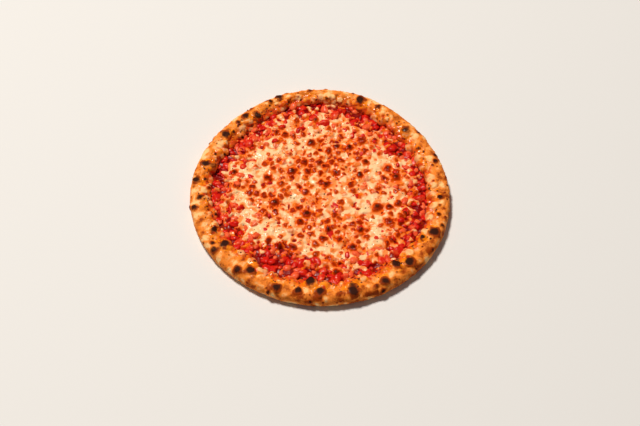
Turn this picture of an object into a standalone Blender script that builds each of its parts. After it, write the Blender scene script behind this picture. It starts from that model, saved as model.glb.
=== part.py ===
"""A margherita pizza 30 cm across, in three pieces that lie on each other: a baked dough base with
a raised, uneven rim, a layer of chunky tomato sauce, and a melted sheet of mozzarella.

Metres, +Z up. The pizza lies on its flat underside, with the origin at the middle of that face."""

import math

import bpy
from mathutils import Vector, noise

# The dough: a thin base inside a raised rim.
PIZZA_RADIUS = 0.150
RIM_INSIDE = 0.1255
UNDERSIDE_RADIUS = 0.1435
RIM_HEIGHT = 0.0168
CREST_OUTWARD = 0.0030
WIDEST_HEIGHT = 0.0072
BASE_THICKNESS = 0.0050
RIM_ROUNDNESS = 0.9

# What lies on the base.
SAUCE_TOP = 0.0074
SAUCE_LUMP = 0.0011
CHEESE_TOP = 0.0101
CHEESE_LUMP = 0.0010
CHEESE_BAND = 0.0125
CHEESE_EDGE_HEIGHT = 0.0010
CHEESE_SLOPE_START = 0.7

# The clearance where one piece lies on another, and the wider one round the sauce's sides.
GAP = 0.0003
SIDE_GAP = 0.0006

# How far the pizza is out of round: (waves in a full turn, height, turn of the first crest).
OUTLINE_WAVES = (
    (2, 0.0009, -45.0),
    (3, 0.0015, -38.0),
    (4, 0.0006, -6.0),
)
# Where the baked rim has swollen inwards over the sauce, or stayed narrow where the depth is
# negative: (angle in degrees, depth, half-width in degrees).
RIM_SWELLINGS = (
    (98.0, -0.0078, 34.0),
    (127.0, 0.0025, 6.0),
    (172.0, -0.0030, 14.0),
    (196.0, 0.0025, 6.0),
    (228.0, 0.0065, 8.0),
    (255.0, 0.0035, 5.0),
    (269.0, 0.0045, 7.0),
    (289.0, 0.0030, 5.0),
    (316.0, 0.0030, 10.0),
    (345.0, -0.0015, 8.0),
)
# Bays and tongues of the cheese's edge: (waves in a full turn, height, turn of the first crest).
CHEESE_WAVES = (
    (3, 0.0025, 70.0),
    (7, 0.0020, 12.0),
    (11, 0.0016, 20.0),
    (19, 0.0009, 5.0),
)

# How far across the bubbles and lumps are, how much a bubble lifts the rim and spreads its two sides
# from its middle line, and how the sauce's open band stands above the part under the cheese.
RIM_BUBBLE_SIZE = 0.017
RIM_BUBBLE_LIFT = 0.0022
RIM_BUBBLE_SPREAD = 0.0011
RIM_MIDDLE = 0.5
SAUCE_LUMP_SIZE = 0.007
SAUCE_BAND_LIFT = 0.00055
SAUCE_BAND_START = 0.1
CHEESE_LUMP_SIZE = 0.019

# How finely the solids are divided, and how sharp an edge must be not to be shaded smooth.
STEPS = 120
RIM_ARC_POINTS = 11
UNDER_ARC_POINTS = 3
CHEESE_RINGS = 10
SAUCE_RINGS = 4
MERGE_DISTANCE = 0.00001
SHARP_ANGLE = 50.0

# (colour, roughness) of each piece.
CRUST_FINISH = ((0.72, 0.33, 0.10), 0.65)
SAUCE_FINISH = ((0.55, 0.03, 0.01), 0.25)
CHEESE_FINISH = ((0.90, 0.55, 0.24), 0.40)


def waves(table, turn):
    """The sum of a table's waves at a turn, in degrees, about the middle."""
    return sum(height * math.cos(math.radians(count * (turn - crest))) for count, height, crest in table)


def swelling(turn):
    """How far the rim's inner side stands in from its usual place."""
    total = 0.0
    for middle, depth, half_width in RIM_SWELLINGS:
        away = (turn - middle + 180.0) % 360.0 - 180.0
        total += depth * math.exp(-((away / half_width) ** 2))
    return total


def outer_radius(turn):
    return PIZZA_RADIUS + waves(OUTLINE_WAVES, turn)


def inner_radius(turn):
    return RIM_INSIDE + waves(OUTLINE_WAVES, turn) - swelling(turn)


def cheese_radius(turn):
    return inner_radius(turn) - CHEESE_BAND + waves(CHEESE_WAVES, turn)


def lumps(point, size, depth):
    """Smooth unevenness of about this size across, from -depth to depth."""
    return depth * noise.noise(Vector(point) / size)


def turn_of(point):
    return math.degrees(math.atan2(point[1], point[0]))


def eased(share):
    share = min(1.0, max(0.0, share))
    return share * share * (3.0 - 2.0 * share)


def finish(name, colour, roughness):
    """A plain non-metallic material."""
    made = bpy.data.materials.new(name)
    made.use_nodes = True
    shader = made.node_tree.nodes["Principled BSDF"]
    shader.inputs["Base Color"].default_value = (*colour, 1.0)
    shader.inputs["Roughness"].default_value = roughness
    shader.inputs["Metallic"].default_value = 0.0
    return made


def turned(name, profile, material, collection):
    """A solid turned from a profile that starts on the axis at the top, runs out and comes back below."""
    line = bpy.data.meshes.new(name + "_profile")
    points = [(radius, 0.0, height) for radius, height in profile]
    line.from_pydata(points, [(i, i + 1) for i in range(len(points) - 1)], [])
    made = bpy.data.objects.new(name, line)
    collection.objects.link(made)
    screw = made.modifiers.new("Turn", "SCREW")
    screw.axis = "Z"
    screw.angle = 2.0 * math.pi
    screw.steps = STEPS
    screw.render_steps = STEPS
    screw.use_merge_vertices = True
    screw.merge_threshold = MERGE_DISTANCE
    bpy.context.view_layer.update()
    graph = bpy.context.evaluated_depsgraph_get()
    made.data = bpy.data.meshes.new_from_object(made.evaluated_get(graph))
    made.data.name = name
    made.modifiers.clear()
    made.data.materials.append(material)
    bpy.data.meshes.remove(line)
    return made


def moulded(made, shape):
    """Moves every point of a turned solid to where shape puts it, and shades it smooth."""
    for vertex in made.data.vertices:
        vertex.co = shape(*vertex.co)
    made.data.shade_smooth()
    made.data.set_sharp_from_angle(angle=math.radians(SHARP_ANGLE))
    return made


def crust_profile():
    """The base's top, the rim over its crest, the tucked-in outer side and the flat underside."""
    middle = (PIZZA_RADIUS + RIM_INSIDE) / 2.0
    half_width = (PIZZA_RADIUS - RIM_INSIDE) / 2.0
    tuck = PIZZA_RADIUS - UNDERSIDE_RADIUS
    points = [(0.0, BASE_THICKNESS), (RIM_INSIDE, BASE_THICKNESS)]
    for step in range(1, RIM_ARC_POINTS + 1):
        share = step / RIM_ARC_POINTS
        angle = math.pi * (1.0 - share)
        foot = BASE_THICKNESS + (WIDEST_HEIGHT - BASE_THICKNESS) * share
        height = foot + (RIM_HEIGHT - foot) * math.sin(angle) ** RIM_ROUNDNESS
        radius = middle + half_width * math.cos(angle) + CREST_OUTWARD * math.sin(angle) ** 2
        points.append((radius, height))
    for step in range(1, UNDER_ARC_POINTS + 1):
        angle = math.pi / 2.0 * step / UNDER_ARC_POINTS
        radius = PIZZA_RADIUS - tuck * (1.0 - math.cos(angle))
        points.append((radius, WIDEST_HEIGHT * (1.0 - math.sin(angle))))
    points.append((0.0, 0.0))
    return points


def crust_shape(x, y, z):
    """Puts a point of the round rim where the uneven, bubbled rim has it."""
    radius = math.hypot(x, y)
    if radius < GAP:
        return x, y, z
    turn = turn_of((x, y))
    outside, inside = outer_radius(turn), inner_radius(turn)
    across = (radius - RIM_INSIDE) / (PIZZA_RADIUS - RIM_INSIDE)
    upper = radius * inside / RIM_INSIDE if across < 0.0 else inside + across * (outside - inside)
    lower = radius * outside / PIZZA_RADIUS
    raised = eased(z / BASE_THICKNESS)
    radius_now = lower + (upper - lower) * raised
    out_x, out_y = x / radius, y / radius
    swollen = eased((z - BASE_THICKNESS) / (RIM_HEIGHT - BASE_THICKNESS))
    bubble = swollen * lumps((x, y, z), RIM_BUBBLE_SIZE, 1.0)
    radius_now += RIM_BUBBLE_SPREAD * bubble * (across - RIM_MIDDLE)
    return out_x * radius_now, out_y * radius_now, z + RIM_BUBBLE_LIFT * bubble


def sauce_profile():
    """Flat under the cheese, then a band of lumps, in rings from the cheese's edge to the rim."""
    points = [(0.0, SAUCE_TOP), (RIM_INSIDE - CHEESE_BAND, SAUCE_TOP)]
    for ring in range(1, SAUCE_RINGS + 1):
        radius = RIM_INSIDE - CHEESE_BAND * (1.0 - ring / SAUCE_RINGS)
        points.append((radius, SAUCE_TOP))
    points.append((RIM_INSIDE, BASE_THICKNESS + GAP))
    points.append((0.0, BASE_THICKNESS + GAP))
    return points


def sauce_shape(x, y, z):
    """Fits the sauce between the cheese's bays and the rim, and lets its open band stand in lumps."""
    radius = math.hypot(x, y)
    if radius < GAP:
        return x, y, z
    turn = turn_of((x, y))
    rim, cheese = inner_radius(turn) - SIDE_GAP, cheese_radius(turn) + SIDE_GAP
    start = RIM_INSIDE - CHEESE_BAND
    across = (radius - start) / CHEESE_BAND
    radius_now = radius * cheese / start if across < 0.0 else cheese + across * (rim - cheese)
    out_x, out_y = x / radius, y / radius
    height = z
    if z >= SAUCE_TOP and across > SAUCE_BAND_START:
        height += SAUCE_BAND_LIFT + lumps((x, y, z), SAUCE_LUMP_SIZE, SAUCE_LUMP)
    return out_x * radius_now, out_y * radius_now, height


def cheese_profile():
    """A flat underside on the sauce, a thin edge, and rings of gently sinking top."""
    edge = RIM_INSIDE - CHEESE_BAND
    floor = SAUCE_TOP + GAP
    points = [(0.0, CHEESE_TOP)]
    for ring in range(1, CHEESE_RINGS + 1):
        share = ring / CHEESE_RINGS
        fall = eased((share - CHEESE_SLOPE_START) / (1.0 - CHEESE_SLOPE_START))
        height = CHEESE_TOP + (floor + CHEESE_EDGE_HEIGHT - CHEESE_TOP) * fall
        points.append((edge * share, height))
    points.append((edge, floor))
    points.append((0.0, floor))
    return points


def cheese_shape(x, y, z):
    """Gives the melted sheet its bays and tongues, and the swell and sag of its top."""
    radius = math.hypot(x, y)
    if radius < GAP:
        return x, y, z
    turn = turn_of((x, y))
    radius_now = radius * cheese_radius(turn) / (RIM_INSIDE - CHEESE_BAND)
    thickness = (z - SAUCE_TOP - GAP) / (CHEESE_TOP - SAUCE_TOP - GAP)
    height = z + max(0.0, thickness) * lumps((x, y, z), CHEESE_LUMP_SIZE, CHEESE_LUMP)
    return x / radius * radius_now, y / radius * radius_now, height


def centred(pieces):
    """Slides every piece alike, so that the whole's box has its middle over the origin."""
    places = [vertex.co for piece in pieces for vertex in piece.data.vertices]
    middle = [(max(p[axis] for p in places) + min(p[axis] for p in places)) / 2.0 for axis in (0, 1)]
    for piece in pieces:
        for vertex in piece.data.vertices:
            vertex.co.x -= middle[0]
            vertex.co.y -= middle[1]


def main():
    for left_over in list(bpy.data.objects):
        bpy.data.objects.remove(left_over)
    pizza = bpy.data.collections.new("margherita_pizza")
    bpy.context.scene.collection.children.link(pizza)

    crust = turned("crust", crust_profile(), finish("crust", *CRUST_FINISH), pizza)
    sauce = turned("tomato_sauce", sauce_profile(), finish("tomato_sauce", *SAUCE_FINISH), pizza)
    cheese = turned("mozzarella", cheese_profile(), finish("mozzarella", *CHEESE_FINISH), pizza)
    moulded(crust, crust_shape)
    moulded(sauce, sauce_shape)
    moulded(cheese, cheese_shape)
    centred([crust, sauce, cheese])


main()
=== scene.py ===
import math
from functools import lru_cache

import bmesh
import bpy
import numpy as np
from bpy.props import FloatProperty, FloatVectorProperty, IntProperty, PointerProperty
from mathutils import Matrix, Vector


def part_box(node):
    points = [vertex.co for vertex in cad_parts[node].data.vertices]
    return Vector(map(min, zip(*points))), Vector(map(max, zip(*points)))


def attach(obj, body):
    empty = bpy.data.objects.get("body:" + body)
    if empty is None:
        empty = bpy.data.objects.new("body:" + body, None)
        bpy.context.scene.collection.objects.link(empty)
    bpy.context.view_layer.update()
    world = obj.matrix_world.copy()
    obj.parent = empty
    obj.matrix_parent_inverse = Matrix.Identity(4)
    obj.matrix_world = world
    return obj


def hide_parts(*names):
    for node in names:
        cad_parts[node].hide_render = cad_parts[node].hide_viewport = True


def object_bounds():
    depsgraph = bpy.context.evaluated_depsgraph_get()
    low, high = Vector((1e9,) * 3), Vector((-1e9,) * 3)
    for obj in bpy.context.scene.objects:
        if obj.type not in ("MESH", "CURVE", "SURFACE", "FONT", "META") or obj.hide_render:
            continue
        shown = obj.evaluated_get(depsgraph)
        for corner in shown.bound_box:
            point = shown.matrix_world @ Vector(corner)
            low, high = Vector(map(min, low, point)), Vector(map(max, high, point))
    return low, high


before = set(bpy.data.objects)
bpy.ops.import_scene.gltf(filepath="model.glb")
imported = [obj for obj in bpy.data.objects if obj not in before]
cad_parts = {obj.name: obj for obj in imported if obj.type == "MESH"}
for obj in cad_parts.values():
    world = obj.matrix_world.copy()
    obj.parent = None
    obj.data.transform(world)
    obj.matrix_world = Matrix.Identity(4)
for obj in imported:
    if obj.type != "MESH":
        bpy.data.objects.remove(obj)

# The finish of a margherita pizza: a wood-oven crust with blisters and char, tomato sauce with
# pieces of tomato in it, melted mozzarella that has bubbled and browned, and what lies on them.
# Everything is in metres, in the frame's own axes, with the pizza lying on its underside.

bl_info = {
    "name": "Margherita Pizza",
    "version": (1, 0, 0),
    "blender": (4, 5, 0),
    "location": "View3D > Sidebar > Pizza",
    "description": "Bakes a margherita pizza: crust, tomato sauce, mozzarella and their browning",
    "category": "Add Mesh",
}

CAD_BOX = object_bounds()
MM = 0.001

# The dough's section and outline, which the solids of the frame have too.
PIZZA_RADIUS = 0.150
RIM_INSIDE = 0.1255
UNDERSIDE_RADIUS = 0.1435
RIM_HEIGHT = 0.0168
CREST_OUTWARD = 0.0030
WIDEST_HEIGHT = 0.0072
BASE_THICKNESS = 0.0050
CHEESE_BAND = 0.0125
RIM_ROUNDNESS = 0.9
GAP = 0.0003
SAUCE_LEVEL = 0.0066
SAUCE_MIDDLE_LEVEL = 0.0072
SAUCE_TUCKED = 0.0015
CHEESE_LEVEL = 0.0076
CHEESE_MESH_STEP = 0.00070
TOPPING_FLOOR = BASE_THICKNESS + 2.0 * GAP

# How many of each scattered thing there are.
SAUCE_LUMPS = 640
RED_LUMPS = 190
CURDS = 420
RIM_BUBBLES = 190
CHEESE_SPECKS = 380
RIM_SPECKS = 360

# (waves in a full turn, height, turn of the first crest)
OUTLINE_WAVES = ((2, 0.0009, -45.0), (3, 0.0015, -38.0), (4, 0.0006, -6.0))
CHEESE_WAVES = ((3, 0.0025, 70.0), (7, 0.0020, 12.0), (11, 0.0016, 20.0), (19, 0.0009, 5.0))
# Where the rim has swollen inwards: (angle in degrees, depth, half-width in degrees).
RIM_SWELLINGS = (
    (98.0, -0.0078, 34.0), (127.0, 0.0025, 6.0), (172.0, -0.0030, 14.0), (196.0, 0.0025, 6.0),
    (228.0, 0.0065, 8.0), (255.0, 0.0035, 5.0), (269.0, 0.0045, 7.0), (289.0, 0.0030, 5.0),
    (316.0, 0.0030, 10.0), (345.0, -0.0015, 8.0),
)
# Where the cheese stops short of the rim and leaves the sauce bare: (angle, depth, half-width).
CHEESE_BAYS = (
    (65.0, 0.013, 9.0), (101.0, 0.008, 5.0), (150.0, 0.008, 6.0), (176.0, 0.011, 9.0),
    (211.0, 0.010, 7.0), (245.0, 0.021, 11.0), (266.0, 0.008, 5.0), (340.0, 0.007, 10.0),
)

# The side turned away from the key light, where the rim is painted browner as painted shade, as an angle in
# degrees.
SHADED_SIDE = 312.0
# The biggest charred blisters of the rim: (angle in degrees, place across the rim from 0 at its inner
# side to 1 at its outer, width in mm, char).
RIM_BLISTERS = (
    (40, 0.4, 9, 0.75), (60, 0.6, 6, 0.7), (70, 0.5, 10, 1.0), (95, 0.7, 5, 0.6), (110, 0.7, 7, 0.9),
    (125, 0.3, 9, 0.8), (130, 0.6, 8, 0.7), (145, 0.5, 10, 0.85), (165, 0.2, 10, 0.55), (165, 0.5, 8, 1.0),
    (175, 0.7, 8, 0.95), (185, 0.5, 7, 0.8), (190, 0.8, 7, 0.8), (205, 0.3, 8, 0.95), (215, 0.3, 10, 1.0),
    (215, 0.8, 8, 0.75), (230, 0.8, 8, 0.8), (235, 0.5, 9, 1.0), (250, 0.7, 8, 0.95), (260, 0.6, 8, 0.9),
    (265, 0.2, 11, 1.0), (270, 0.6, 9, 1.0), (285, 0.4, 8, 0.7), (285, 0.7, 11, 1.0), (300, 0.7, 8, 0.85),
    (310, 0.3, 10, 1.0), (315, 0.6, 10, 0.95), (330, 0.3, 6, 0.85), (335, 0.6, 10, 1.0), (355, 0.5, 6, 0.8),
)
# Browned blisters of the cheese: (x, y and width in mm, how dark).
CHEESE_BLISTERS = (
    (-10, 71, 8, 0.8), (20, 65, 7, 0.8), (11, 59, 7, 0.7), (50, 75, 10, 0.6), (25, 81, 6, 0.6),
    (-18, 42, 8, 0.75), (-1, 42, 8, 0.7), (19.5, 27.5, 7, 0.8), (-32, 29, 9, 0.9), (-61, 20, 8, 0.9),
    (-79, 7, 6, 0.7), (36, 10, 7, 0.7), (1, 27, 6, 0.6), (47, 24, 7, 0.9), (80, 34, 8, 0.8),
    (90, 20, 9, 0.8), (66, -22, 11, 0.7), (91, -17, 8, 0.7), (80, -42, 9, 0.75), (47, -54, 8, 1.0),
    (10, -52, 7, 0.95), (-15, -31, 9, 0.9), (-52, -15, 9, 0.85), (-66, -27, 6, 0.5),
    (-10, -59, 6, 0.5), (-5, -72, 7, 0.6), (-4, -86, 6, 0.6), (10, -91, 7, 0.6), (22, -66, 7, 0.7),
    (37, -77, 10, 0.75), (-65, -5, 6, 0.6), (-56, -5, 6, 0.6), (99, -30, 7, 0.7), (95, 54, 8, 0.9),
    (18, -110, 7, 1.0), (-46, -75, 8, 0.8), (-30, -77, 8, 0.7), (-81, 65, 8, 0.7), (-90, 57, 7, 0.6),
    (-88, 84, 7, 0.9),
)
# Where the tomato stands up through the cheese: (x, y and width in mm).
RED_PATCHES = ((-34, -2, 12), (-14, 10, 10), (32, 62, 11), (-62, 45, 12), (45, -81, 10), (-50, 38, 9))
# Where the cheese lies thick and pale: (x, y and width in mm).
PALE_PATCHES = (
    (-60, 70, 26), (-90, 35, 30), (65, 45, 26), (102, 40, 20), (55, -15, 28), (5, 100, 26),
    (-72, -50, 24), (65, -57, 22), (-10, -80, 18), (-45, 5, 20), (30, -30, 20), (-30, -50, 16),
)
# Where the oven has browned it most: (x, y and width in mm).
TOASTED_PATCHES = (
    (-20, -38, 30), (-5, -12, 26), (10, 12, 30), (25, 35, 30), (40, 60, 26), (20, -52, 34),
    (42, -50, 26), (-60, -18, 28), (5, 70, 26), (-25, 36, 24), (84, 25, 22), (-40, 20, 24),
)


def srgb(red, green, blue):
    """A colour from the usual 0 to 255 scale, as shader values."""
    parts = [part / 255.0 for part in (red, green, blue)]
    return tuple(p / 12.92 if p <= 0.04045 else ((p + 0.055) / 1.055) ** 2.4 for p in parts)


def colour_setting(name, description, *value):
    return FloatVectorProperty(
        name=name, description=description, default=srgb(*value), subtype="COLOR", min=0.0, max=1.0
    )


class CrustSettings(bpy.types.PropertyGroup):
    """The baked dough."""

    pale: colour_setting("Pale dough", "Floury dough that the oven has hardly coloured", 253, 198, 132)
    golden: colour_setting("Golden dough", "Most of the rim", 246, 137, 48)
    brown: colour_setting("Browned dough", "Round the blisters and on the crest", 154, 58, 9)
    char: colour_setting("Char", "The blisters' burnt tops", 54, 20, 9)
    oil: colour_setting("Oil", "Oil and cheese fat on the rim's inner side", 255, 140, 4)
    puff: FloatProperty(
        name="Puff", description="How far the rim's bubbles stand out", default=0.0008, unit="LENGTH"
    )
    small_blisters: IntProperty(
        name="Small blisters", description="Blisters between the big ones", default=260, min=0
    )


class SauceSettings(bpy.types.PropertyGroup):
    """The tomato sauce and the pieces of tomato in it."""

    # Painted shade: the cooked sauce runs from bright on the lumps' tops to deep in the hollows between
    # them.
    deep: colour_setting("Deep sauce", "Sauce in the hollows", 130, 3, 2)
    bright: colour_setting("Bright sauce", "Sauce on the lumps", 210, 26, 14)
    # Pale flesh of some pieces, and painted light on the tops of all of them.
    flesh_and_light: colour_setting("Tomato flesh", "The palest side of a piece of tomato", 240, 98, 54)
    chunks: IntProperty(name="Pieces", description="Pieces of tomato in the sauce", default=200, min=0)


class CheeseSettings(bpy.types.PropertyGroup):
    """The melted mozzarella."""

    cream: colour_setting("Cream", "Cheese that has only melted", 252, 205, 151)
    golden: colour_setting("Golden", "Where it has begun to brown", 238, 92, 3)
    brown: colour_setting("Browned", "The blisters' sides", 172, 38, 0)
    char: colour_setting("Scorched", "The blisters' tops", 80, 24, 6)
    oil: colour_setting("Oil", "Orange oil that has run over the cheese", 248, 122, 16)
    stain: colour_setting("Stain", "Sauce that shows through thin cheese", 238, 104, 60)
    thickness: FloatProperty(
        name="Thickness", description="Of the melted sheet", default=0.0015, unit="LENGTH"
    )
    small_blisters: IntProperty(
        name="Small blisters", description="Blisters between the big ones", default=250, min=0
    )


class StageSettings(bpy.types.PropertyGroup):
    """The floor and the studio light."""

    floor: colour_setting("Floor", "A plain pale surface", 226, 224, 222)
    key: FloatProperty(name="Key light", description="Power of the main light", default=384.0, min=0.0)
    fill: FloatProperty(name="Fill", description="Strength of the light all round", default=0.12, min=0.0)
    backdrop: FloatProperty(
        name="Backdrop", description="How bright the distance looks", default=0.75, min=0.0
    )
    lens: FloatProperty(name="Lens", description="Focal length, mm", default=70.6, min=1.0)


# The pizza's outline.

def eased(share):
    share = np.clip(share, 0.0, 1.0)
    return share * share * (3.0 - 2.0 * share)


def between(low, high, value):
    """0 up to low, 1 from high on, and an eased rise between; high may be the lower."""
    return eased((value - low) / (high - low))


def waves(table, turn):
    """The sum of a table's waves at a turn, in degrees, about the middle."""
    return sum(height * np.cos(np.radians(count * (turn - crest))) for count, height, crest in table)


def humps(table, turn):
    """The sum of a table's smooth humps at a turn, in degrees, about the middle."""
    total = np.zeros_like(turn)
    for middle, depth, half_width in table:
        away = (turn - middle + 180.0) % 360.0 - 180.0
        total += depth * np.exp(-((away / half_width) ** 2))
    return total


def outer_radius(turn):
    return PIZZA_RADIUS + waves(OUTLINE_WAVES, turn)


def inner_radius(turn):
    return RIM_INSIDE + waves(OUTLINE_WAVES, turn) - humps(RIM_SWELLINGS, turn)


def cheese_radius(turn):
    return inner_radius(turn) - CHEESE_BAND + waves(CHEESE_WAVES, turn)


@lru_cache(maxsize=None)
def middle():
    """Where the outline's own middle lies, so that the pizza's box is centred as the frame's is."""
    turn = np.arange(0.0, 360.0, 1.0)
    reach = outer_radius(turn)
    sides = reach * np.cos(np.radians(turn)), reach * np.sin(np.radians(turn))
    low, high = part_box("crust")
    return np.array([
        (low[i] + high[i]) / 2.0 - (side.max() + side.min()) / 2.0 for i, side in enumerate(sides)
    ])


def spot(turn, reach):
    """x and y at a turn, in degrees, and a distance from the outline's middle."""
    angle = np.radians(turn)
    return middle()[0] + reach * np.cos(angle), middle()[1] + reach * np.sin(angle)


# Maps of the pizza seen from above, on a square of fine cells.

CELL = 0.0005
HALF_SIDE = 310


@lru_cache(maxsize=None)
def plan():
    """x, y, turn and distance from the middle of each cell."""
    steps = np.arange(-HALF_SIDE, HALF_SIDE + 1) * CELL
    x, y = np.meshgrid(steps, steps)
    return x, y, np.degrees(np.arctan2(y, x)), np.hypot(x, y)


def filtered(white, sizes, spacings):
    """Noise of unit strength whose bumps are about so far apart, from white noise on a grid."""
    rows = np.fft.fftfreq(white.shape[0], spacings[0]) * sizes
    columns = np.fft.rfftfreq(white.shape[1], spacings[1]) * sizes
    square = rows[:, None] ** 2 + columns[None, :] ** 2
    made = np.fft.irfft2(np.fft.rfft2(white) * square * np.exp(-square), white.shape)
    return made / made.std()


@lru_cache(maxsize=None)
def cloud(seed, size):
    """Smooth unevenness of this size over the plan."""
    side = 2 * HALF_SIDE + 1
    return filtered(np.random.default_rng(seed).standard_normal((side, side)), size, (CELL, CELL))


def window(x, y, reach):
    """The part of the plan within reach of a place."""
    column, row = x / CELL + HALF_SIDE, y / CELL + HALF_SIDE
    span = reach / CELL + 1.0
    return slice(int(row - span), int(row + span) + 1), slice(int(column - span), int(column + span) + 1)


def sampled(field, x, y):
    """The values of a map of the plan at these places."""
    column = np.clip(np.asarray(x) / CELL + HALF_SIDE, 0.0, 2 * HALF_SIDE - 1.001)
    row = np.clip(np.asarray(y) / CELL + HALF_SIDE, 0.0, 2 * HALF_SIDE - 1.001)
    left, low = column.astype(int), row.astype(int)
    right, high = column - left, row - low
    bottom = field[low, left] * (1.0 - right) + field[low, left + 1] * right
    top = field[low + 1, left] * (1.0 - right) + field[low + 1, left + 1] * right
    return bottom * (1.0 - high) + top * high


def spots(field, places, reach, drawn, warp=None):
    """Draws drawn(distance in radii, strength) at each (x, y, radius, strength), keeping the highest."""
    x, y = plan()[:2]
    if warp is not None:
        x, y = x + warp[0], y + warp[1]
    for place_x, place_y, radius, strength in places:
        part = window(place_x, place_y, radius * reach)
        away = np.hypot(x[part] - place_x, y[part] - place_y) / radius
        field[part] = np.maximum(field[part], drawn(away, radius, strength))
    return field


def scattered(seed, count, spacing, chance):
    """Random places on the plan, by the chance that the map gives there, at least so far apart."""
    random = np.random.default_rng(seed)
    found = []
    cells = {}
    for _ in range(count * 60):
        if len(found) == count:
            break
        x, y = random.uniform(-0.135, 0.135, 2)
        keep = random.random()
        if keep > sampled(chance, x, y):
            continue
        home = int(x // spacing), int(y // spacing)
        near = [cells.get((home[0] + i, home[1] + j), ()) for i in (-1, 0, 1) for j in (-1, 0, 1)]
        if any(math.hypot(x - a, y - b) < spacing for group in near for a, b in group):
            continue
        cells.setdefault(home, []).append((x, y))
        found.append((x, y))
    return found


def patches(table):
    """A soft map of the named patches, from 0 to 1."""
    x, y = plan()[:2]
    made = np.zeros_like(x)
    for patch_x, patch_y, width in table:
        square = ((x - patch_x * MM) ** 2 + (y - patch_y * MM) ** 2) / (width * MM / 2.0) ** 2
        made = np.maximum(made, np.exp(-square))
    return made


@lru_cache(maxsize=None)
def sauce_top():
    """Height of the sauce: lumps of tomato pulp of many sizes, close together."""
    distance = plan()[3]
    random = np.random.default_rng(11)
    places = scattered(12, SAUCE_LUMPS, 0.0052, np.ones_like(distance))
    lumps = [(x, y, random.uniform(0.0034, 0.0062), random.uniform(0.34, 0.52)) for x, y in places]
    warp = 0.0009 * cloud(13, 0.0090), 0.0009 * cloud(14, 0.0090)

    def dome(away, radius, strength):
        return strength * radius * np.sqrt(np.clip(1.0 - away ** 2, 0.0, 1.0))

    made = spots(np.zeros_like(distance), lumps, 1.3, dome, warp)
    return SAUCE_LEVEL + made + 0.00005 * cloud(15, 0.0022) + 0.0003 * cloud(16, 0.014)


@lru_cache(maxsize=None)
def cheese_blisters():
    """(x, y, radius, how dark) of every blister on the cheese."""
    random = np.random.default_rng(21)
    settings = bpy.context.scene.pizza_cheese
    toasted, pale = patches(TOASTED_PATCHES), patches(PALE_PATCHES)
    chance = (0.40 + 0.75 * toasted - 0.36 * pale) * between(0.118, 0.104, plan()[3])
    made = [(x * MM, y * MM, 1.25 * width * MM / 2.0, dark) for x, y, width, dark in CHEESE_BLISTERS]
    named = list(made)
    for x, y in scattered(22, settings.small_blisters, 0.0066, chance):
        share = random.random() ** 1.4
        hot = sampled(toasted, x, y)
        radius = 0.0018 + 0.0027 * share + 0.0003 * hot
        if all(math.hypot(x - a, y - b) > big + 0.6 * radius for a, b, big, _ in named):
            made.append((x, y, radius, 0.20 + 0.55 * share + 0.25 * hot * random.random()))
    return made


@lru_cache(maxsize=None)
def red_lumps():
    """(x, y, radius, strength) of lumps of tomato under thin cheese."""
    random = np.random.default_rng(25)
    distance = plan()[3]
    chance = 0.16 + 0.8 * patches(RED_PATCHES) + 0.5 * between(0.088, 0.104, distance)
    chance = chance * between(0.124, 0.116, distance)
    return [(x, y, random.uniform(0.0024, 0.0044), random.uniform(0.6, 1.0))
            for x, y in scattered(26, RED_LUMPS, 0.0072, chance)]


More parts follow.
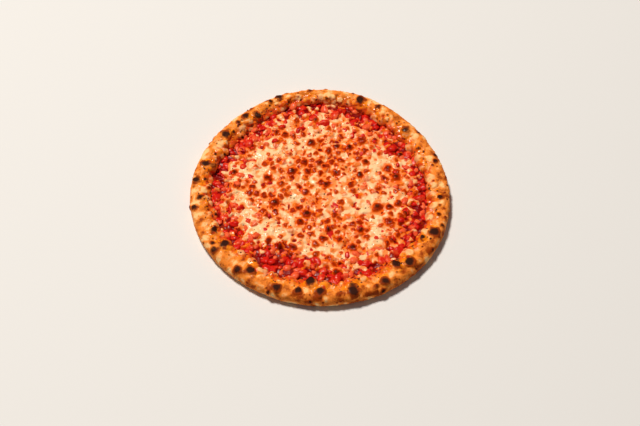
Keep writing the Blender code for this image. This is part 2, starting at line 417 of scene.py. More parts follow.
@lru_cache(maxsize=None)
def cheese_maps():
    """Maps of the cheese: thickness, dome height, toast, scorch, oil and stain."""
    x, y, turn, distance = plan()
    settings = bpy.context.scene.pizza_cheese
    toasted, pale, red = patches(TOASTED_PATCHES), patches(PALE_PATCHES), patches(RED_PATCHES)
    edge = cheese_radius(turn) + 0.002 - humps(CHEESE_BAYS, turn) - distance + 0.0032 * cloud(31, 0.022)
    ragged = np.clip(edge / 0.0075, -1.9, 2.5) + 0.95 * cloud(32, 0.0125) + 0.15 * cloud(33, 0.0060)
    ragged += 0.5 * pale - 0.9 * red
    ragged += np.maximum(0.0, 0.85 - ragged) * between(0.010, 0.022, edge)
    warp = 0.0007 * cloud(37, 0.0090), 0.0007 * cloud(38, 0.0090)
    blisters, lumps = cheese_blisters(), red_lumps()
    zero = np.zeros_like(x)
    random = np.random.default_rng(44)
    smallest_curd, biggest_curd = 0.0055, 0.0105
    curds = [(x, y, random.uniform(smallest_curd, biggest_curd), 1.0)
             for x, y in scattered(45, CURDS, 0.0086, zero + 1.0)]
    curd_warp = 0.0012 * cloud(46, 0.012), 0.0012 * cloud(47, 0.012)

    def rounded(away, radius, strength):
        return np.sqrt(np.clip(1.0 - away ** 2, 0.0, 1.0)) * radius / biggest_curd

    curd = spots(zero.copy(), curds, 1.5, rounded, curd_warp)
    rolling = 0.00035 * cloud(34, 0.019) + 0.00011 * cloud(35, 0.0085) + 0.00002 * cloud(36, 0.0030)
    thickness = settings.thickness * np.clip(ragged, -0.45, 1.35) / 1.35
    hollow = between(0.75, 0.25, curd)
    thickness = thickness + (rolling - 0.0006 * hollow) * between(0.0, 0.001, thickness)

    def dome(away, radius, strength):
        return 0.50 * radius * np.sqrt(np.clip(1.0 - away ** 2, 0.0, 1.0))

    domes = spots(spots(zero.copy(), blisters, 1.4, dome, warp), lumps, 1.4, dome, warp)
    halo = spots(zero.copy(), blisters, 2.8,
                 lambda away, radius, dark: (0.5 + 0.5 * dark) * between(1.7, 1.0, away), warp)
    body = spots(zero.copy(), blisters, 1.7,
                 lambda away, radius, dark: (0.64 + 0.36 * dark) * between(1.25, 0.70, away), warp)
    scorch = spots(zero.copy(), blisters, 1.5,
                   lambda away, radius, dark: between(0.10, 0.95, dark) * between(1.05, 0.0, away), warp)
    reddened = spots(zero.copy(), lumps, 2.0,
                     lambda away, radius, strength: strength * between(1.5, 0.75, away), warp)
    streaks = between(0.6, 1.8, cloud(39, 0.0085)) * (0.22 + 0.62 * toasted)
    toast = np.maximum(np.maximum(body, streaks), 0.36 * halo) + 0.10 * toasted * (1.0 + cloud(40, 0.012))
    toast += 0.04 * hollow
    oil = 0.14 + 0.54 * between(-0.3, 1.3, cloud(41, 0.013) + 0.9 * toasted) + 0.50 * halo
    oil += 0.20 * hollow + 0.15 * toasted - 0.30 * pale + 0.15 * between(0.085, 0.105, distance)
    stain = np.maximum(between(0.0010, -0.0001, thickness), 0.62 * reddened * (1.0 - body))
    stain += 0.24 * between(0.3, 1.6, cloud(43, 0.016)) + 0.45 * red * (1.0 - 0.5 * body)
    maps = {"toast": toast * (1.0 - 0.3 * pale), "scorch": scorch, "oil": oil, "stain": stain}
    maps = {name: np.clip(values, 0.0, 1.0) for name, values in maps.items()}
    return {"thickness": thickness, "dome": domes, **maps}


@lru_cache(maxsize=None)
def cheese_top():
    """Height of the cheese. Where it is not, it lies just under the sauce."""
    maps = cheese_maps()
    sauce = sauce_top()
    thickness = maps["thickness"]
    held = 0.75 * between(0.0, 0.0011, thickness)
    blistered = maps["dome"] * between(-0.0002, 0.0004, thickness)
    return sauce * (1.0 - held) + CHEESE_LEVEL * held + thickness + blistered


# Meshes.

def skin(name, points, polygons, masks):
    """A smooth mesh whose points carry the named masks."""
    mesh = bpy.data.meshes.new(name)
    mesh.from_pydata(np.asarray(points).tolist(), [], polygons)
    for mask, values in masks.items():
        layer = mesh.attributes.new(mask, "FLOAT", "POINT")
        layer.data.foreach_set("value", np.ascontiguousarray(values, dtype=np.float32))
    mesh.shade_smooth()
    return mesh


def turned_skin(name, rings, first, last, masks):
    """A closed skin over rings of points, rings[row, column], with a fan to a point at each end."""
    rows, columns = rings.shape[:2]
    points = np.concatenate([rings.reshape(-1, 3), [first, last]])
    row, column = np.meshgrid(np.arange(rows - 1), np.arange(columns), indexing="ij")
    after = (column + 1) % columns
    corners = [row * columns + column, (row + 1) * columns + column,
               (row + 1) * columns + after, row * columns + after]
    polygons = np.stack(corners, -1).reshape(-1, 4).tolist()
    end, foot = rows * columns, (rows - 1) * columns
    for i in range(columns):
        polygons.append((end, i, (i + 1) % columns))
        polygons.append((foot + i, end + 1, foot + (i + 1) % columns))
    spread = {mask: np.append(values.reshape(-1), [values[0].mean(), values[-1].mean()])
              for mask, values in masks.items()}
    return skin(name, points, polygons, spread)


def sheet_skin(name, step, height, covered, floor, maps):
    """A closed sheet over the covered part of the plan, with its top at height and a flat floor."""
    reach = int(0.134 / step)
    steps = np.arange(-reach, reach + 1) * step
    x, y = np.meshgrid(steps, steps)
    wanted = sampled(covered, x, y) > 0.5
    cells = wanted[:-1, :-1] | wanted[1:, :-1] | wanted[:-1, 1:] | wanted[1:, 1:]
    for _ in range(6):
        low, right, up, over = cells[:-1, :-1], cells[:-1, 1:], cells[1:, :-1], cells[1:, 1:]
        crossed = (low & over & ~right & ~up) | (right & up & ~low & ~over)
        for part in (low, right, up, over):
            part |= crossed
    used = np.zeros(x.shape, dtype=bool)
    for part in (used[:-1, :-1], used[1:, :-1], used[:-1, 1:], used[1:, 1:]):
        part |= cells
    number = np.full(x.shape, -1)
    number[used] = np.arange(used.sum())
    corners = [number[:-1, :-1], number[:-1, 1:], number[1:, 1:], number[1:, :-1]]
    polygons = np.stack([corner[cells] for corner in corners], -1).tolist()
    points = np.stack([x[used], y[used], sampled(height, x[used], y[used])], -1)
    masks = {mask: sampled(field, x[used], y[used]) for mask, field in maps.items()}
    mesh = skin(name, points, polygons, masks)
    shape = bmesh.new()
    shape.from_mesh(mesh)
    border = [edge for edge in shape.edges if edge.is_boundary]
    walls = bmesh.ops.extrude_edge_only(shape, edges=border)["geom"]
    for vertex in (item for item in walls if isinstance(item, bmesh.types.BMVert)):
        vertex.co.z = floor
    rim = [item for item in walls if isinstance(item, bmesh.types.BMEdge) and item.is_boundary]
    bmesh.ops.triangle_fill(shape, use_dissolve=False, use_beauty=False, normal=(0.0, 0.0, -1.0), edges=rim)
    bmesh.ops.recalc_face_normals(shape, faces=shape.faces)
    shape.to_mesh(mesh)
    shape.free()
    mesh.shade_smooth()
    return mesh


def lump_shape(subdivisions):
    """Points and faces of a plain round lump of unit radius."""
    shape = bmesh.new()
    bmesh.ops.create_icosphere(shape, subdivisions=subdivisions, radius=1.0)
    points = np.array([vertex.co[:] for vertex in shape.verts])
    faces = np.array([[vertex.index for vertex in face.verts] for face in shape.faces])
    shape.free()
    return points, faces


def lumps_skin(name, lumps, subdivisions, unevenness, seed, floor=0.0):
    """Many uneven lumps as one mesh, flattened where they would pass the floor.

    A lump is (place, three half-widths, turns about z and x, tone)."""
    random = np.random.default_rng(seed)
    ball, faces = lump_shape(subdivisions)
    points, polygons, tones_and_light = [], [], []
    for place, half_widths, spin, tilt, tone in lumps:
        shape = ball.copy()
        for pitch, depth in 4 * [(1.4, unevenness)] + 4 * [(3.4, 0.5 * unevenness)]:
            along = random.standard_normal(3) * pitch
            shape *= 1.0 + depth * np.sin(ball @ along + random.uniform(0.0, 6.3))[:, None]
        shape = shape * np.asarray(half_widths)
        cosine, sine = math.cos(tilt), math.sin(tilt)
        tilted = np.array([[1, 0, 0], [0, cosine, sine], [0, -sine, cosine]])
        cosine, sine = math.cos(spin), math.sin(spin)
        spun = np.array([[cosine, sine, 0], [-sine, cosine, 0], [0, 0, 1]])
        polygons.append(faces + len(points) * len(ball))
        shape = shape @ tilted @ spun
        placed = shape + np.asarray(place)
        placed[:, 2] = np.maximum(placed[:, 2], floor)
        points.append(placed)
        # Each lump's own tone, plus painted light: lighter towards its top and darker towards its
        # underside.
        tones_and_light.append(0.6 * tone + 0.5 * between(-1.0, 1.0, shape[:, 2] / np.abs(shape[:, 2]).max()) - 0.1)
    masks = {"tone": np.concatenate(tones_and_light)}
    return skin(name, np.concatenate(points), np.concatenate(polygons).tolist(), masks)


def served(name, mesh, material, slot, *nodes):
    """Puts a finished piece on the pizza, in the place of the frame's nodes that it stands for."""
    made = bpy.data.objects.new(name, mesh)
    bpy.context.scene.collection.objects.link(made)
    mesh.materials.append(material)
    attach(made, "root")
    if nodes:
        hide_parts(*nodes)
    return made


# Materials.

class Recipe:
    """Adds nodes to a shader tree and wires them up."""

    def __init__(self, tree):
        self.tree = tree

    def add(self, kind, inputs, **settings):
        node = self.tree.nodes.new(kind)
        for name, value in settings.items():
            setattr(node, name, value)
        for key, value in inputs.items():
            if isinstance(value, bpy.types.NodeSocket):
                self.tree.links.new(value, node.inputs[key])
            else:
                node.inputs[key].default_value = value
        return node

    def math(self, operation, first, second=0.0):
        made = self.add("ShaderNodeMath", {0: first, 1: second}, operation=operation)
        return made.outputs[0]

    def swayed(self, value, mottle, amount):
        """The value, pushed up and down by the mottling."""
        sway = self.math("MULTIPLY", self.math("SUBTRACT", mottle, 0.5), amount)
        return self.math("ADD", value, sway)

    def mix(self, share, first, second):
        made = self.add("ShaderNodeMix", {0: share, 6: first, 7: second}, data_type="RGBA")
        return made.outputs[2]

    def rise(self, value, low, high, bottom=0.0, top=1.0):
        inputs = {"Value": value, "From Min": low, "From Max": high, "To Min": bottom, "To Max": top}
        made = self.add("ShaderNodeMapRange", inputs, interpolation_type="SMOOTHSTEP", clamp=True)
        return made.outputs["Result"]

    def noise(self, place, scale, detail=3.0, roughness=0.55):
        inputs = {"Vector": place, "Scale": scale, "Detail": detail, "Roughness": roughness}
        return self.add("ShaderNodeTexNoise", inputs).outputs["Fac"]

    def mask(self, name):
        settings = {"attribute_name": name, "attribute_type": "GEOMETRY"}
        return self.add("ShaderNodeAttribute", {}, **settings).outputs["Fac"]

    def place(self):
        return self.add("ShaderNodeTexCoord", {}).outputs["Object"]

    def group(self, tree, inputs):
        return self.add("ShaderNodeGroup", inputs, node_tree=tree).outputs

    def feed(self, value, socket):
        self.tree.links.new(value, socket)


def effect(name, inputs, outputs):
    """A new node group with these sockets: its recipe, its inputs and the node that takes its outputs."""
    group = bpy.data.node_groups.new(name, "ShaderNodeTree")
    kinds = {"colour": "NodeSocketColor", "value": "NodeSocketFloat"}
    for label, kind, value in inputs:
        socket = group.interface.new_socket(label, in_out="INPUT", socket_type=kinds[kind])
        socket.default_value = value
    for label, kind in outputs:
        group.interface.new_socket(label, in_out="OUTPUT", socket_type=kinds[kind])
    recipe = Recipe(group)
    entry = group.nodes.new("NodeGroupInput")
    return recipe, entry.outputs, group.nodes.new("NodeGroupOutput").inputs


@lru_cache(maxsize=None)
def fine_grain():
    """The unevenness of baked and melted food below the mesh's own detail."""
    recipe, given, result = effect(
        "Fine Grain", [("Scale", "value", 600.0), ("Coarseness", "value", 0.5)],
        [("Mottle", "value"), ("Height", "value")],
    )
    place = recipe.place()
    fine = recipe.noise(place, given["Scale"], 4.0)
    coarse = recipe.noise(place, recipe.math("MULTIPLY", given["Scale"], 0.3), 3.0)
    both = recipe.math("ADD", recipe.math("MULTIPLY", coarse, given["Coarseness"]), fine)
    whole = recipe.math("ADD", given["Coarseness"], 1.0)
    mottle = recipe.math("DIVIDE", both, whole)
    recipe.feed(recipe.rise(mottle, 0.33, 0.67), result["Mottle"])
    recipe.feed(mottle, result["Height"])
    return recipe.tree


@lru_cache(maxsize=None)
def oven_toast():
    """The colours that the oven gives, from raw to charred."""
    grey = (0.5, 0.5, 0.5, 1.0)
    recipe, given, result = effect(
        "Oven Toast",
        [("Raw", "colour", grey), ("Golden", "colour", grey), ("Brown", "colour", grey),
         ("Char", "colour", grey), ("Toast", "value", 0.0), ("Scorch", "value", 0.0),
         ("Mottle", "value", 0.5), ("Unevenness", "value", 0.3)],
        [("Colour", "colour")],
    )
    toast = recipe.swayed(given["Toast"], given["Mottle"], given["Unevenness"])
    scorch = recipe.swayed(given["Scorch"], given["Mottle"], given["Unevenness"])
    colour = recipe.mix(recipe.rise(toast, 0.02, 0.5), given["Raw"], given["Golden"])
    colour = recipe.mix(recipe.rise(toast, 0.42, 0.95), colour, given["Brown"])
    colour = recipe.mix(recipe.rise(scorch, 0.25, 0.85), colour, given["Char"])
    recipe.feed(colour, result["Colour"])
    return recipe.tree


@lru_cache(maxsize=None)
def oil_film():
    """Oil that tints what it wets and makes it shine."""
    grey = (0.5, 0.5, 0.5, 1.0)
    recipe, given, result = effect(
        "Oil Film",
        [("Colour", "colour", grey), ("Oil Colour", "colour", grey), ("Oil", "value", 0.0),
         ("Tint", "value", 0.5), ("Dry Roughness", "value", 0.6), ("Wet Roughness", "value", 0.25)],
        [("Colour", "colour"), ("Roughness", "value")],
    )
    wet = recipe.rise(given["Oil"], 0.1, 0.8)
    share = recipe.math("MULTIPLY", wet, given["Tint"])
    recipe.feed(recipe.mix(share, given["Colour"], given["Oil Colour"]), result["Colour"])
    less = recipe.math("SUBTRACT", given["Wet Roughness"], given["Dry Roughness"])
    roughness = recipe.math("ADD", given["Dry Roughness"], recipe.math("MULTIPLY", wet, less))
    recipe.feed(roughness, result["Roughness"])
    return recipe.tree


def solid(colour):
    return (*colour, 1.0)


def food(name, constants):
    """A material with a Principled BSDF: its recipe and the shader."""
    made = bpy.data.materials.new(name)
    made.use_nodes = True
    recipe = Recipe(made.node_tree)
    shader = made.node_tree.nodes["Principled BSDF"]
    for key, value in constants.items():
        shader.inputs[key].default_value = value
    return made, recipe, shader


def dented(recipe, shader, height, distance, strength=1.0):
    bump = recipe.add("ShaderNodeBump", {"Height": height, "Distance": distance, "Strength": strength})
    recipe.feed(bump.outputs["Normal"], shader.inputs["Normal"])


def crust_material():
    colours = bpy.context.scene.pizza_crust
    made, recipe, shader = food("baked_crust", {
        "Subsurface Weight": 0.08, "Subsurface Radius": (0.0020, 0.0009, 0.0004), "Subsurface Scale": 1.0,
        "Specular IOR Level": 0.05, "Coat Roughness": 0.16,
    })
    grain = recipe.group(fine_grain(), {"Scale": 520.0, "Coarseness": 0.8})
    spots = recipe.rise(recipe.noise(recipe.place(), 70.0, 3.0), 0.50, 0.72, -0.35, 0.42)
    floury = recipe.math("ADD", recipe.mask("toast"), recipe.math("MULTIPLY", recipe.mask("flour"), spots))
    toast = recipe.group(oven_toast(), {
        "Raw": solid(colours.pale), "Golden": solid(colours.golden), "Brown": solid(colours.brown),
        "Char": solid(colours.char), "Toast": floury, "Scorch": recipe.mask("scorch"),
        "Mottle": grain["Mottle"], "Unevenness": 0.24,
    })
    film = recipe.group(oil_film(), {
        "Colour": toast["Colour"], "Oil Colour": solid(colours.oil), "Oil": recipe.mask("oil"),
        "Tint": 0.88, "Dry Roughness": 0.62, "Wet Roughness": 0.24,
    })
    red = bpy.context.scene.pizza_sauce.bright
    # Sauce stain on the rim's inner foot, and painted shade in the creases between its bubbles.
    stained_and_shaded = recipe.mix(recipe.math("MULTIPLY", recipe.mask("stain"), 0.8), film["Colour"], solid(red))
    colour = recipe.mix(recipe.rise(recipe.mask("scorch"), 0.35, 0.8), stained_and_shaded, toast["Colour"])
    recipe.feed(colour, shader.inputs["Base Color"])
    recipe.feed(film["Roughness"], shader.inputs["Roughness"])
    unburnt = recipe.rise(recipe.mask("scorch"), 0.1, 0.6, 0.55, 0.1)
    shine = recipe.math("MULTIPLY", recipe.mask("oil"), unburnt)
    recipe.feed(shine, shader.inputs["Coat Weight"])
    dented(recipe, shader, grain["Height"], 0.0005, 0.9)
    return made


def sauce_material(name, use_tone):
    colours = bpy.context.scene.pizza_sauce
    oil = bpy.context.scene.pizza_cheese.oil
    made, recipe, shader = food(name, {
        "Subsurface Weight": 0.12, "Subsurface Radius": (0.0030, 0.0006, 0.0003), "Subsurface Scale": 1.0,
        "Coat Weight": 0.13, "Coat Roughness": 0.22, "Specular IOR Level": 0.05,
    })
    grain = recipe.group(fine_grain(), {"Scale": 380.0, "Coarseness": 1.0})
    if use_tone:
        # The tone is each piece's own colour plus painted light, paler towards its top.
        share = recipe.swayed(recipe.mask("tone"), grain["Mottle"], 0.5)
        colour = recipe.mix(recipe.rise(share, 0.0, 0.55), solid(colours.deep), solid(colours.bright))
        colour = recipe.mix(recipe.rise(share, 0.55, 1.1), colour, solid(colours.flesh_and_light))
    else:
        # The sauce's tone here is painted shade, deep in the hollows and bright on the lumps.
        share = recipe.swayed(recipe.mask("tone"), grain["Mottle"], 0.6)
        colour = recipe.mix(recipe.rise(share, 0.15, 0.9), solid(colours.deep), solid(colours.bright))
    film = recipe.group(oil_film(), {
        "Colour": colour, "Oil Colour": solid(oil), "Oil": recipe.rise(grain["Mottle"], 0.6, 1.0),
        "Tint": 0.10, "Dry Roughness": 0.34, "Wet Roughness": 0.16,
    })
    recipe.feed(film["Colour"], shader.inputs["Base Color"])
    recipe.feed(film["Roughness"], shader.inputs["Roughness"])
    dented(recipe, shader, grain["Height"], 0.0004, 0.5)
    return made


def cheese_material():
    colours = bpy.context.scene.pizza_cheese
    made, recipe, shader = food("melted_mozzarella", {
        "Subsurface Weight": 0.15, "Subsurface Radius": (0.0030, 0.0014, 0.0006), "Subsurface Scale": 1.0,
        "Coat Roughness": 0.15, "Specular IOR Level": 0.06,
    })
    grain = recipe.group(fine_grain(), {"Scale": 480.0, "Coarseness": 0.8})
    stain = recipe.rise(recipe.swayed(recipe.mask("stain"), grain["Mottle"], 0.12), 0.12, 1.0)
    base = recipe.mix(recipe.rise(stain, 0.0, 0.6), solid(colours.cream), solid(colours.stain))
    base = recipe.mix(recipe.rise(stain, 0.6, 1.0), base, solid(bpy.context.scene.pizza_sauce.bright))
    film = recipe.group(oil_film(), {
        "Colour": base, "Oil Colour": solid(colours.oil), "Oil": recipe.mask("oil"),
        "Tint": 0.80, "Dry Roughness": 0.42, "Wet Roughness": 0.22,
    })
    toast = recipe.group(oven_toast(), {
        "Raw": film["Colour"], "Golden": solid(colours.golden), "Brown": solid(colours.brown),
        "Char": solid(colours.char), "Toast": recipe.mask("toast"), "Scorch": recipe.mask("scorch"),
        "Mottle": grain["Mottle"], "Unevenness": 0.07,
    })
    recipe.feed(toast["Colour"], shader.inputs["Base Color"])
    recipe.feed(film["Roughness"], shader.inputs["Roughness"])
    shine = recipe.rise(recipe.mask("scorch"), 0.1, 0.6, 0.20, 0.05)
    recipe.feed(shine, shader.inputs["Coat Weight"])
    dented(recipe, shader, grain["Height"], 0.0003, 0.35)
    return made


def speck_material():
    colours = bpy.context.scene.pizza_crust
    made, recipe, shader = food("burnt_specks", {"Roughness": 0.5, "Specular IOR Level": 0.2})
    grain = recipe.group(fine_grain(), {"Scale": 900.0, "Coarseness": 0.5})
    # Each speck's own tone plus painted light: the specks are browner on top and darker beneath.
    share = recipe.math("MULTIPLY", recipe.mask("tone"), grain["Mottle"])
    colour = recipe.mix(share, solid(colours.char), solid(colours.brown))
    recipe.feed(colour, shader.inputs["Base Color"])
    dented(recipe, shader, grain["Height"], 0.0003, 0.6)
    return made


# The crust's own maps, on the rings of its mesh.

COLUMNS = 1080
RIM_ROWS = 72


def rim_section():
    """The rim's section from the foot of its inner side over the crest to its underside, at even steps."""
    centre, half_width = (PIZZA_RADIUS + RIM_INSIDE) / 2.0, (PIZZA_RADIUS - RIM_INSIDE) / 2.0
    share = np.linspace(0.0, 1.0, 300)
    angle = math.pi * (1.0 - share)
    sine = np.clip(np.sin(angle), 0.0, 1.0)
    foot = BASE_THICKNESS + (WIDEST_HEIGHT - BASE_THICKNESS) * share
    height = foot + (RIM_HEIGHT - foot) * sine ** RIM_ROUNDNESS
    radius = centre + half_width * np.cos(angle) + CREST_OUTWARD * sine ** 2
    under = np.linspace(0.0, math.pi / 2.0, 60)[1:]
    tuck = PIZZA_RADIUS - UNDERSIDE_RADIUS
    radius = np.append(radius, PIZZA_RADIUS - tuck * (1.0 - np.cos(under)))
    height = np.append(height, WIDEST_HEIGHT * (1.0 - np.sin(under)))
    run = np.append(0.0, np.cumsum(np.hypot(np.diff(radius), np.diff(height))))
    even = np.linspace(0.0, run[-1], RIM_ROWS)
    return np.interp(even, run, radius), np.interp(even, run, height), run[-1] / (RIM_ROWS - 1)


@lru_cache(maxsize=None)
def crust_rings():
    """Points of the crust before it bubbles, how much each may swell, and the rings' spacing."""
    radius, height, spacing = rim_section()
    floor = np.linspace(UNDERSIDE_RADIUS, 0.0, 11)[1:-1]
    hidden = np.array([0.05, 0.10, 0.120])
    swell = between(0.0, 0.003, (np.arange(RIM_ROWS)) * spacing) * between(0.0002, 0.0022, height)
    first = int(np.argmax(radius))
    swell[:first] = between(0.0, 0.003, (np.arange(first)) * spacing)
    radius = np.concatenate([hidden, radius, floor])[:, None]
    height = np.concatenate([np.full(len(hidden), BASE_THICKNESS), height, np.zeros(len(floor))])[:, None]
    swell = np.concatenate([np.zeros(len(hidden)), swell, np.zeros(len(floor))])
    turn = (np.arange(COLUMNS) * 360.0 / COLUMNS)[None, :]
    outside, inside = outer_radius(turn), inner_radius(turn)
    across = (radius - RIM_INSIDE) / (PIZZA_RADIUS - RIM_INSIDE)
    upper = np.where(across < 0.0, radius * inside / RIM_INSIDE, inside + across * (outside - inside))
    lower = radius * outside / PIZZA_RADIUS
    reach = lower + (upper - lower) * eased(height / BASE_THICKNESS)
    x, y = spot(turn, reach)
    return np.stack([x, y, np.broadcast_to(height, x.shape)], -1), swell, across, spacing


def outward(rings):
    """The direction that each point of the rings faces."""
    along = np.gradient(rings, axis=0)
    round_ = np.roll(rings, -1, axis=1) - np.roll(rings, 1, axis=1)
    faced = np.cross(along, round_)
    return faced / np.maximum(np.linalg.norm(faced, axis=-1, keepdims=True), 1e-12)


def ring_cloud(seed, size):
    """Smooth unevenness of this size over the crust's rings."""
    rings, _, _, spacing = crust_rings()
    white = np.random.default_rng(seed).standard_normal(rings.shape[:2])
    return filtered(white, size, (spacing, 2.0 * math.pi * 0.139 / COLUMNS))


@lru_cache(maxsize=None)
def rim_blisters():
    """(place, radius, char) of each blister, the places on the crust before it bubbles."""
    rings = crust_rings()[0]
    random = np.random.default_rng(51)
    top = rings[4:4 + RIM_ROWS * 7 // 10]
    made = []
    for turn, across, width, char in RIM_BLISTERS:
        inside, outside = inner_radius(float(turn)), outer_radius(float(turn))
        x, y = spot(turn, inside + across * (outside - inside))
        away = np.hypot(top[..., 0] - x, top[..., 1] - y)
        made.append((top[np.unravel_index(np.argmin(away), away.shape)], 1.6 * width * MM / 2.0, char))
    big = list(made)
    while len(made) < len(big) + bpy.context.scene.pizza_crust.small_blisters:
        place = top[int(len(top) * random.random() ** 1.3), random.integers(COLUMNS)]
        share = random.random() ** 2.5
        char = random.uniform(0.30, 0.65) + 0.30 * share
        if any(np.linalg.norm(place - other) < radius + 0.002 for other, radius, _ in made):
            continue
        made.append((place, 0.0008 + 0.0033 * share, char))
    return made


@lru_cache(maxsize=None)
def rim_bubbles():
    """(place, radius, how pale) of the plain bubbles that crowd the rim's inner side. The paleness is paler
    dough with a painted highlight on the bubble's top.
    """
    rings = crust_rings()[0]
    random = np.random.default_rng(64)
    inner = rings[4:23]
    return [(inner[int(len(inner) * random.random() ** 1.5), random.integers(COLUMNS)],
             0.0032 + 0.0045 * random.random() ** 1.4, between(0.28, 0.50, random.random()))
            for _ in range(RIM_BUBBLES)]


@lru_cache(maxsize=None)
def crust_skin():
    """The bubbled, blistered and browned crust: its rings of points, and its maps."""
    rings, swell, across, _ = crust_rings()
    puff = bpy.context.scene.pizza_crust.puff
    wide, bubbled, fine = ring_cloud(52, 0.030), ring_cloud(53, 0.0170), ring_cloud(54, 0.0065)
    rise = puff * (0.6 * wide + 0.75 * np.abs(bubbled) - 0.6) * between(1.05, 0.6, across).clip(0.4, 1.0)
    rise = rise + 0.00024 * np.abs(fine) + 0.00004 * ring_cloud(55, 0.0034)
    inner_bubbles = np.zeros(rings.shape[:2])
    pale_tops_and_highlight = np.zeros_like(inner_bubbles)
    for place, radius, paleness_and_highlight in rim_bubbles():
        away = np.linalg.norm(rings - place, axis=-1) / radius
        inner_bubbles = np.maximum(inner_bubbles, 0.50 * radius * np.clip(1.0 - away ** 2, 0.0, 1.0) ** 0.7)
        # Paler dough and a painted highlight on the tops of the bigger bubbles.
        pale_tops_and_highlight = np.maximum(pale_tops_and_highlight, paleness_and_highlight * between(0.0028, 0.0044, radius) * between(0.92, 0.62, away))
    rise = rise + inner_bubbles
    uneven = 1.0 + 0.09 * ring_cloud(56, 0.0110)
    scorch = np.zeros(rings.shape[:2])
    browned = np.zeros_like(scorch)
    rings_of_oil = np.zeros_like(scorch)
    for place, radius, char in rim_blisters():
        away = np.linalg.norm(rings - place, axis=-1) / radius * uneven
        rise = rise + 0.33 * radius * np.clip(1.0 - away ** 2, 0.0, 1.0) ** 0.85
        scorch = np.maximum(scorch, (0.30 + 0.68 * char) * between(1.05, 0.20, away))
        browned = np.maximum(browned, (0.45 + 0.50 * char) * between(1.16, 0.60, away))
        rings_of_oil = np.maximum(rings_of_oil, between(1.6, 1.2, away) * between(0.9, 1.1, away))
    points = rings + outward(rings) * (rise * swell[:, None])[..., None]
    limit, knee = CAD_BOX[1].z + 0.0002, CAD_BOX[1].z - 0.0016
    high = points[..., 2] > knee
    points[..., 2][high] = knee + (limit - knee) * np.tanh((points[..., 2][high] - knee) / (limit - knee))
    height = rings[..., 2]
    inner = between(0.50, 0.05, across + 0.10 * ring_cloud(57, 0.008)) * (height > 0.0)
    turn = np.arange(COLUMNS) * 360.0 / COLUMNS
    # Painted shade: the low ground between the inner bubbles.
    shaded_crease = inner * between(0.0011, 0.0, inner_bubbles)
    # Painted shade: the crest and outer wall are painted browner towards the side turned from the light.
    shaded_side = between(-0.3, 1.0, np.cos(np.radians(turn - SHADED_SIDE)))[None, :]
    toast = 0.45 + 0.12 * ring_cloud(58, 0.026) + 0.11 * ring_cloud(59, 0.0125) + 0.52 * browned
    toast += 0.21 * shaded_side * between(0.3, 0.75, across) - 0.14 * inner
    # Paler dough and painted highlight on the bubbles' tops take away toast, oil and stain.
    toast -= 0.60 * pale_tops_and_highlight * (1.0 - browned)
    flour = between(0.0085, 0.0030, height) * (0.8 + 0.25 * ring_cloud(60, 0.007))
    pale = between(0.5, 1.6, ring_cloud(61, 0.018))
    oil = inner * (1.05 + 0.35 * ring_cloud(62, 0.010)) - 0.25 * pale - 0.75 * pale_tops_and_highlight
    oil = oil + 0.7 * rings_of_oil * between(0.85, 0.4, across)
    stain = between(0.40, 0.0, across + 0.10 * ring_cloud(63, 0.010)) * (height > BASE_THICKNESS + GAP)
    # Sauce stain at the inner foot, and painted shade: the creases between the inner bubbles take the
    # sauce's red.
    stain = np.maximum(stain, 0.62 * shaded_crease * between(0.6, 0.3, across)) * (1.0 - 0.5 * pale_tops_and_highlight)
    toast = np.where(height > 0.0, toast - 0.3 * pale, 0.5)
    flour = np.where(height > 0.0, flour, 0.9)
    maps = {"toast": toast, "scorch": scorch, "oil": oil, "flour": flour, "stain": stain}
    return points, {name: np.clip(values, 0.0, 1.0) for name, values in maps.items()}


class PIZZA_OT_crust(bpy.types.Operator):
    """The baked dough, with its puffed rim, blisters and char"""

    bl_idname = "pizza.crust"
    bl_label = "Bake the crust"

    def execute(self, context):
        points, maps = crust_skin()
        centre = middle()
        mesh = turned_skin("crust_baked", points, (*centre, BASE_THICKNESS), (*centre, 0.0), maps)
        served("crust_baked", mesh, crust_material(), "crust", "crust")
        return {"FINISHED"}


class PIZZA_OT_sauce(bpy.types.Operator):
    """The layer of tomato sauce, lumpy where it shows"""

    bl_idname = "pizza.sauce"
    bl_label = "Spread the sauce"

    def execute(self, context):
        columns = 900
        turn = (np.arange(columns) * 360.0 / columns)[None, :]
        share = np.concatenate([np.linspace(0.08, 0.62, 9), np.linspace(0.63, 1.0, 58)])[:, None]
        reach = (inner_radius(turn) + SAUCE_TUCKED) * share
        reach = np.concatenate([reach, reach[-1:], reach[-1:] * 0.5])
        x, y = spot(turn, reach)
        height = sampled(sauce_top(), x, y)
        floor = BASE_THICKNESS + GAP
        height[-2:] = floor
        # Painted shade: the tone falls from the lumps' tops into the hollows, deep red there.
        tone = between(0.0068, 0.0090, height)
        mesh = turned_skin("sauce_cooked", np.stack([x, y, height], -1),
                           (*middle(), SAUCE_MIDDLE_LEVEL), (*middle(), floor), {"tone": tone})
        served("sauce_cooked", mesh, sauce_material("cooked_sauce", False), "tomato_sauce", "tomato_sauce")
        return {"FINISHED"}


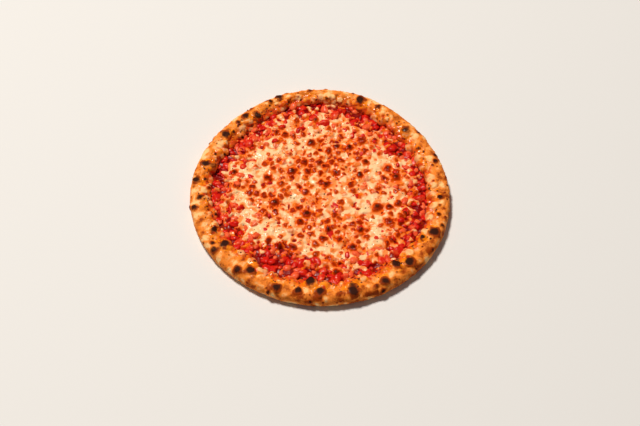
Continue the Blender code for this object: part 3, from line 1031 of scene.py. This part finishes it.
class PIZZA_OT_tomato(bpy.types.Operator):
    """Pieces of tomato that stand out of the sauce"""

    bl_idname = "pizza.tomato"
    bl_label = "Add the pieces of tomato"

    def execute(self, context):
        settings = context.scene.pizza_sauce
        _, _, turn, distance = plan()
        random = np.random.default_rng(71)
        bare = between(0.0006, -0.0002, cheese_maps()["thickness"])
        band = between(0.0006, 0.0030, inner_radius(turn) - distance)
        chance = band * (0.15 + 0.85 * bare) * between(0.085, 0.100, distance)
        lumps = []
        for x, y in scattered(72, settings.chunks, 0.0064, chance):
            size = 0.0027 + 0.0032 * random.random() ** 1.4
            half_widths = size * np.array(
                [random.uniform(0.95, 1.4), random.uniform(0.8, 1.1), random.uniform(0.45, 0.7)])
            height = max(sampled(sauce_top(), x, y), sampled(cheese_top(), x, y) - 0.0004)
            place = (x, y, height - 0.26 * size)
            tone = 1.3 * random.random()
            lumps.append((place, half_widths, random.uniform(0.0, 6.3), random.uniform(-0.5, 0.5), tone))
        mesh = lumps_skin("tomato_pieces", lumps, 3, 0.10, 73, TOPPING_FLOOR)
        served("tomato_pieces", mesh, sauce_material("tomato_flesh", True), "tomato_sauce")
        return {"FINISHED"}


class PIZZA_OT_mozzarella(bpy.types.Operator):
    """The melted mozzarella, with its bubbles and browned blisters"""

    bl_idname = "pizza.mozzarella"
    bl_label = "Melt the mozzarella"

    def execute(self, context):
        maps = cheese_maps()
        _, _, turn, distance = plan()
        covered = (maps["thickness"] > -0.0003) & (distance < inner_radius(turn) + 0.0005)
        shown = {name: maps[name] for name in ("toast", "scorch", "oil", "stain")}
        mesh = sheet_skin("mozzarella_melted", CHEESE_MESH_STEP, cheese_top(), covered.astype(float),
                          TOPPING_FLOOR, shown)
        served("mozzarella_melted", mesh, cheese_material(), "mozzarella", "mozzarella")
        return {"FINISHED"}


class PIZZA_OT_specks(bpy.types.Operator):
    """Tiny burnt specks on the cheese and on the rim's inner side"""

    bl_idname = "pizza.specks"
    bl_label = "Scatter the burnt specks"

    def execute(self, context):
        random = np.random.default_rng(81)
        distance = plan()[3]
        lumps = []

        def add(place, size):
            half_widths = size * np.array([random.uniform(0.8, 1.5), random.uniform(0.7, 1.1), 0.5])
            spin, tilt = random.uniform(0.0, 6.3), random.uniform(-0.4, 0.4)
            lumps.append((place, half_widths, spin, tilt, random.random()))

        for x, y in scattered(82, CHEESE_SPECKS, 0.0025, between(0.120, 0.110, distance)):
            add((x, y, sampled(cheese_top(), x, y) + 0.0001), random.uniform(0.0004, 0.0007))
        points, maps = crust_skin()
        height = points[..., 2].ravel()
        near = maps["oil"].ravel() * (height > 0.010) + 0.04 * (height > 0.012)
        for index in random.choice(near.size, RIM_SPECKS, replace=False, p=near / near.sum()):
            add(points.reshape(-1, 3)[index], 0.0004 + 0.0008 * random.random() ** 2.0)
        mesh = lumps_skin("burnt_specks", lumps, 2, 0.15, 83)
        served("burnt_specks", mesh, speck_material(), "crust")
        return {"FINISHED"}


FLOOR_HALF_WIDTH = 12.0
# The floor lies a hair under the pizza, so that the two faces are not in one plane.
FLOOR_DROP = 0.0002
KEY_PLACE = (-1.60, 1.80, 5.42)
KEY_WIDTH = 1.2
KEY_COLOUR = (1.0, 0.95, 0.88)
SURROUNDING_COLOUR = (1.0, 0.98, 0.95, 1.0)
CAMERA_PLACE = (0.0003, -0.838, 1.207)
CAMERA_AIM = Vector((0.0003, -0.0238, 0.0))


def aimed(name, data, place, target):
    """A light or camera that stands at a place and looks at another."""
    made = bpy.data.objects.new(name, data)
    made.location = place
    made.rotation_mode = "QUATERNION"
    made.rotation_quaternion = (target - made.location).to_track_quat("-Z", "Y")
    bpy.context.scene.collection.objects.link(made)
    return made


class PIZZA_OT_stage(bpy.types.Operator):
    """A plain pale floor, soft studio light and the camera"""

    bl_idname = "pizza.stage"
    bl_label = "Set the stage"

    def execute(self, context):
        scene = context.scene
        settings = scene.pizza_stage
        shape = bmesh.new()
        bmesh.ops.create_grid(shape, x_segments=1, y_segments=1, size=FLOOR_HALF_WIDTH)
        mesh = bpy.data.meshes.new("floor")
        shape.to_mesh(mesh)
        shape.free()
        floor = bpy.data.objects.new("floor", mesh)
        floor.location.z = -FLOOR_DROP
        scene.collection.objects.link(floor)
        material, _, shader = food("pale_floor", {"Roughness": 0.7})
        shader.inputs["Base Color"].default_value = solid(settings.floor)
        mesh.materials.append(material)

        light_data = bpy.data.lights.new("key", "AREA")
        light_data.shape = "DISK"
        light_data.size = KEY_WIDTH
        light_data.energy = settings.key
        light_data.color = KEY_COLOUR
        aimed("key", light_data, KEY_PLACE, Vector())

        world = bpy.data.worlds.new("studio")
        world.use_nodes = True
        recipe = Recipe(world.node_tree)
        seen = recipe.add("ShaderNodeLightPath", {}).outputs["Is Camera Ray"]
        strength = recipe.rise(seen, 0.0, 1.0, settings.fill, settings.backdrop)
        background = world.node_tree.nodes["Background"]
        background.inputs["Color"].default_value = SURROUNDING_COLOUR
        recipe.feed(strength, background.inputs["Strength"])
        scene.world = world
        scene.view_settings.view_transform = "Standard"

        camera_data = bpy.data.cameras.new("camera")
        camera_data.lens = settings.lens
        scene.camera = aimed("camera", camera_data, CAMERA_PLACE, CAMERA_AIM)
        return {"FINISHED"}


OPERATORS = (PIZZA_OT_stage, PIZZA_OT_crust, PIZZA_OT_sauce, PIZZA_OT_tomato, PIZZA_OT_mozzarella,
             PIZZA_OT_specks)


class PIZZA_PT_sidebar(bpy.types.Panel):
    """The pizza's pieces and their settings"""

    bl_idname = "PIZZA_PT_sidebar"
    bl_label = "Margherita Pizza"
    bl_space_type = "VIEW_3D"
    bl_region_type = "UI"
    bl_category = "Pizza"

    def draw(self, context):
        for name in SETTINGS:
            group = getattr(context.scene, name)
            box = self.layout.box()
            for setting in group.__annotations__:
                box.prop(group, setting)
        for operator in OPERATORS:
            self.layout.operator(operator.bl_idname)


SETTINGS = {
    "pizza_crust": CrustSettings, "pizza_sauce": SauceSettings,
    "pizza_cheese": CheeseSettings, "pizza_stage": StageSettings,
}
CLASSES = (*SETTINGS.values(), *OPERATORS, PIZZA_PT_sidebar)


def register():
    for made in CLASSES:
        bpy.utils.register_class(made)
    for name, group in SETTINGS.items():
        setattr(bpy.types.Scene, name, PointerProperty(type=group))


def unregister():
    for name in SETTINGS:
        delattr(bpy.types.Scene, name)
    for made in reversed(CLASSES):
        bpy.utils.unregister_class(made)


def main():
    register()
    bpy.ops.pizza.stage()
    bpy.ops.pizza.crust()
    bpy.ops.pizza.sauce()
    bpy.ops.pizza.tomato()
    bpy.ops.pizza.mozzarella()
    bpy.ops.pizza.specks()


if __name__ == "__main__":
    main()
